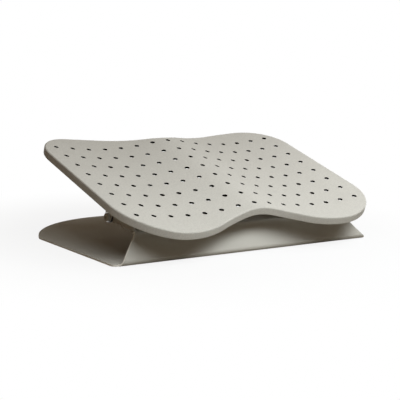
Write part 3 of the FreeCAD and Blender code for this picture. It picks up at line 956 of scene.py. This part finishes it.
def pad_rubber(colours):
    """Black rubber with a dusty, uneven surface."""
    finish = Finish("pad_rubber", colours.rubber)
    dust = finish.spread(finish.noise(0.004, detail=4.0), 0.0, 1.0, start=0.35, end=0.8)
    finish.set(Base_Color=finish.mix(dust, 1.0, 1.9), Roughness=finish.spread(finish.noise(0.002), 0.7, 0.85))
    finish.grain(finish.noise(0.0006, detail=3.0), distance=0.0001, strength=0.4)
    return finish.material


def bush_plastic(colours):
    """Black low-friction plastic, satin and faintly uneven."""
    finish = Finish("bush_plastic", colours.bush)
    finish.set(Base_Color=finish.mix(finish.noise(0.003), 1.0, 1.3),
               Roughness=finish.spread(finish.noise(0.0015), 0.35, 0.5))
    return finish.material


def zinc_plate(colours):
    """Bright zinc plating with a fine frosted spangle."""
    finish = Finish("zinc_plate", colours.zinc)
    spangle = finish.spread(finish.noise(0.0025, detail=4.0, roughness=0.6), 0.0, 1.0)
    finish.set(Base_Color=finish.mix(spangle, 0.86, 1.0), Metallic=1.0,
               Roughness=finish.spread(finish.noise(0.0012, detail=3.0), 0.28, 0.42))
    finish.grain(finish.noise(0.0008), distance=0.00003, strength=0.25)
    return finish.material


def dress(nodes, material):
    """Gives a finish to CAD nodes that keep their shape."""
    for name in nodes:
        for slot in frame["nodes"][name].material_slots:
            slot.material = material


def pair(name):
    return [name + "_left", name + "_right"]


class FOOTREST_OT_hardware(Operator):
    """Finish the screws, washers, springs, nuts and bushes"""

    bl_idname = "footrest.hardware"
    bl_label = "Hinge hardware"

    def execute(self, context):
        colours = context.scene.finish_colours
        plated = pair("head_washer") + pair("disc_spring") + pair("lock_nut") + ["rail_screws"]
        dress(pair("pivot_screw"), powder_coat(colours))
        dress(plated, zinc_plate(colours))
        dress(pair("hinge_bush"), bush_plastic(colours))
        return {"FINISHED"}


class FOOTREST_OT_pads(Operator):
    """Finish the rubber foot and stop pads"""

    bl_idname = "footrest.pads"
    bl_label = "Rubber pads"

    def execute(self, context):
        pads = pair("stop_pad") + pair("foot_pad_front") + pair("foot_pad_middle") + pair("foot_pad_back")
        dress(pads, pad_rubber(context.scene.finish_colours))
        return {"FINISHED"}


# Stage

# Name, place and aim in metres, width and height in metres, watts and tint of each softbox
softboxes = (
    ("wide key", (0.05, -0.6, 0.6), (0.0, -0.1, 0.1), 1.4, 0.25, 7.2, (0.92, 0.98, 1.0)),
    ("right fill", (0.5, -0.2, 0.75), (0.05, 0.0, 0.1), 0.3, 0.3, 1.5, (0.95, 0.96, 0.98)),
    ("back light", (0.1, 0.8, 0.8), (0.0, 0.1, 0.05), 1.0, 0.3, 0.4, (1.0, 0.88, 0.7)),
)


def seen_rays(tree):
    """A factor that is one for camera, glossy and transmission rays."""
    path = add_node(tree, "ShaderNodeLightPath")
    seen = path.outputs["Is Camera Ray"]
    for name in ("Is Glossy Ray", "Is Transmission Ray"):
        either = add_node(tree, "ShaderNodeMath", {0: seen, 1: path.outputs[name]}, operation="MAXIMUM")
        seen = either.outputs[0]
    return seen


def mix_shaders(tree, factor, first, second):
    inputs = {0: factor, 1: first.outputs[0], 2: second.outputs[0]}
    return add_node(tree, "ShaderNodeMixShader", inputs).outputs[0]


def floor_paint(sizes):
    """Near-white floor with the footrest's shadow on it, plain white farther out.

    The footrest itself sees a darker floor, paler in front of the base than below and behind it.
    """
    material = bpy.data.materials.new("pale_floor")
    tree = empty_tree(material)
    seen = seen_rays(tree)
    place = add_node(tree, "ShaderNodeTexCoord").outputs["Object"]
    parts = add_node(tree, "ShaderNodeSeparateXYZ", {0: place})
    inputs = {"Value": parts.outputs["Y"], "From Min": sizes.front_line - lap, "From Max": sizes.front_line}
    behind = add_node(tree, "ShaderNodeMapRange", inputs).outputs["Result"]
    ground = blend(tree, behind, sizes.forecourt, sizes.carpet)
    tone = blend(tree, seen, ground, 3 * (sizes.seen_floor,))
    paint = add_node(tree, "ShaderNodeBsdfDiffuse", {"Color": tone})
    white = add_node(tree, "ShaderNodeEmission", {"Strength": 1.0})
    away = add_node(tree, "ShaderNodeVectorMath", {0: place}, operation="LENGTH").outputs["Value"]
    inputs = {"Value": away, "From Min": sizes.fade_start, "From Max": sizes.fade_end,
              "To Min": sizes.whiteness}
    fade = add_node(tree, "ShaderNodeMapRange", inputs, interpolation_type="SMOOTHSTEP")
    glow = add_node(tree, "ShaderNodeMath", {0: seen, 1: fade.outputs["Result"]}, operation="MULTIPLY")
    add_node(tree, "ShaderNodeOutputMaterial", {"Surface": mix_shaders(tree, glow.outputs[0], paint, white)})
    return material


def add_floor(sizes):
    bpy.ops.mesh.primitive_plane_add(size=sizes.floor, location=(0.0, 0.0, -sizes.floor_drop))
    floor = name_piece("floor")
    settle(floor)
    floor.data.materials.append(floor_paint(sizes))


def add_world(sizes):
    """A white background, and a faint light from all round that only the footrest and the floor see."""
    world = bpy.data.worlds.new("studio")
    tree = empty_tree(world)
    room = add_node(tree, "ShaderNodeBackground", {"Color": (*sizes.room, 1.0)})
    white = add_node(tree, "ShaderNodeBackground", {"Color": (1.0, 1.0, 1.0, 1.0)})
    add_node(tree, "ShaderNodeOutputWorld", {"Surface": mix_shaders(tree, seen_rays(tree), room, white)})
    bpy.context.scene.world = world


def add_camera(sizes):
    back = Vector((math.sin(sizes.azimuth) * math.cos(sizes.elevation),
                   -math.cos(sizes.azimuth) * math.cos(sizes.elevation), math.sin(sizes.elevation)))
    right = (-back).cross(Vector((0.0, 0.0, 1.0))).normalized()
    down = (-back).cross(right)
    across = math.cos(sizes.roll) * right + math.sin(sizes.roll) * down
    below = math.cos(sizes.roll) * down - math.sin(sizes.roll) * right
    bpy.ops.object.camera_add(location=sizes.place)
    camera = bpy.context.object
    camera.name = "camera"
    camera.rotation_euler = Matrix((across, -below, back)).transposed().to_euler()
    camera.data.lens = sizes.lens
    camera.data.sensor_width = sizes.sensor
    camera.data.clip_start = sizes.nearest
    camera.data.clip_end = sizes.farthest
    bpy.context.scene.camera = camera


def add_softbox(name, place, target, width, height, power, tint):
    bpy.ops.object.light_add(type="AREA", location=place)
    lamp = bpy.context.object
    lamp.name = name
    lamp.rotation_euler = (Vector(target) - Vector(place)).to_track_quat("-Z", "Y").to_euler()
    lamp.data.shape = "RECTANGLE"
    lamp.data.size = width
    lamp.data.size_y = height
    lamp.data.energy = power
    lamp.data.color = tint


class FOOTREST_OT_stage(Operator):
    """Set the camera, the floor and the soft studio light"""

    bl_idname = "footrest.stage"
    bl_label = "Stage"

    def execute(self, context):
        sizes = context.scene.stage_sizes
        add_camera(sizes)
        add_floor(sizes)
        add_world(sizes)
        for softbox in softboxes:
            add_softbox(*softbox)
        context.scene.view_settings.view_transform = "Standard"
        return {"FINISHED"}


class FOOTREST_PT_panel(Panel):
    """Lists the steps that make the footrest"""

    bl_label = "Footrest"
    bl_idname = "FOOTREST_PT_panel"
    bl_space_type = "VIEW_3D"
    bl_region_type = "UI"
    bl_category = "Footrest"

    def draw(self, context):
        for operator in operators:
            self.layout.operator(operator.bl_idname)


operators = (FOOTREST_OT_stage, FOOTREST_OT_foot_board, FOOTREST_OT_base_sheet, FOOTREST_OT_hinge_rail,
             FOOTREST_OT_hardware, FOOTREST_OT_pads)
groups = {"foot_board_sizes": FootBoardSizes, "base_sheet_sizes": BaseSheetSizes,
          "hinge_rail_sizes": HingeRailSizes, "finish_colours": FinishColours, "stage_sizes": StageSizes}


def register():
    for name, group in groups.items():
        bpy.utils.register_class(group)
        setattr(bpy.types.Scene, name, PointerProperty(type=group))
    for operator in operators:
        bpy.utils.register_class(operator)
    bpy.utils.register_class(FOOTREST_PT_panel)


def unregister():
    bpy.utils.unregister_class(FOOTREST_PT_panel)
    for operator in reversed(operators):
        bpy.utils.unregister_class(operator)
    for name, group in reversed(groups.items()):
        delattr(bpy.types.Scene, name)
        bpy.utils.unregister_class(group)


def main():
    register()
    bpy.ops.footrest.stage()
    bpy.ops.footrest.foot_board()
    bpy.ops.footrest.base_sheet()
    bpy.ops.footrest.hinge_rail()
    bpy.ops.footrest.hardware()
    bpy.ops.footrest.pads()


if __name__ == "__main__":
    main()
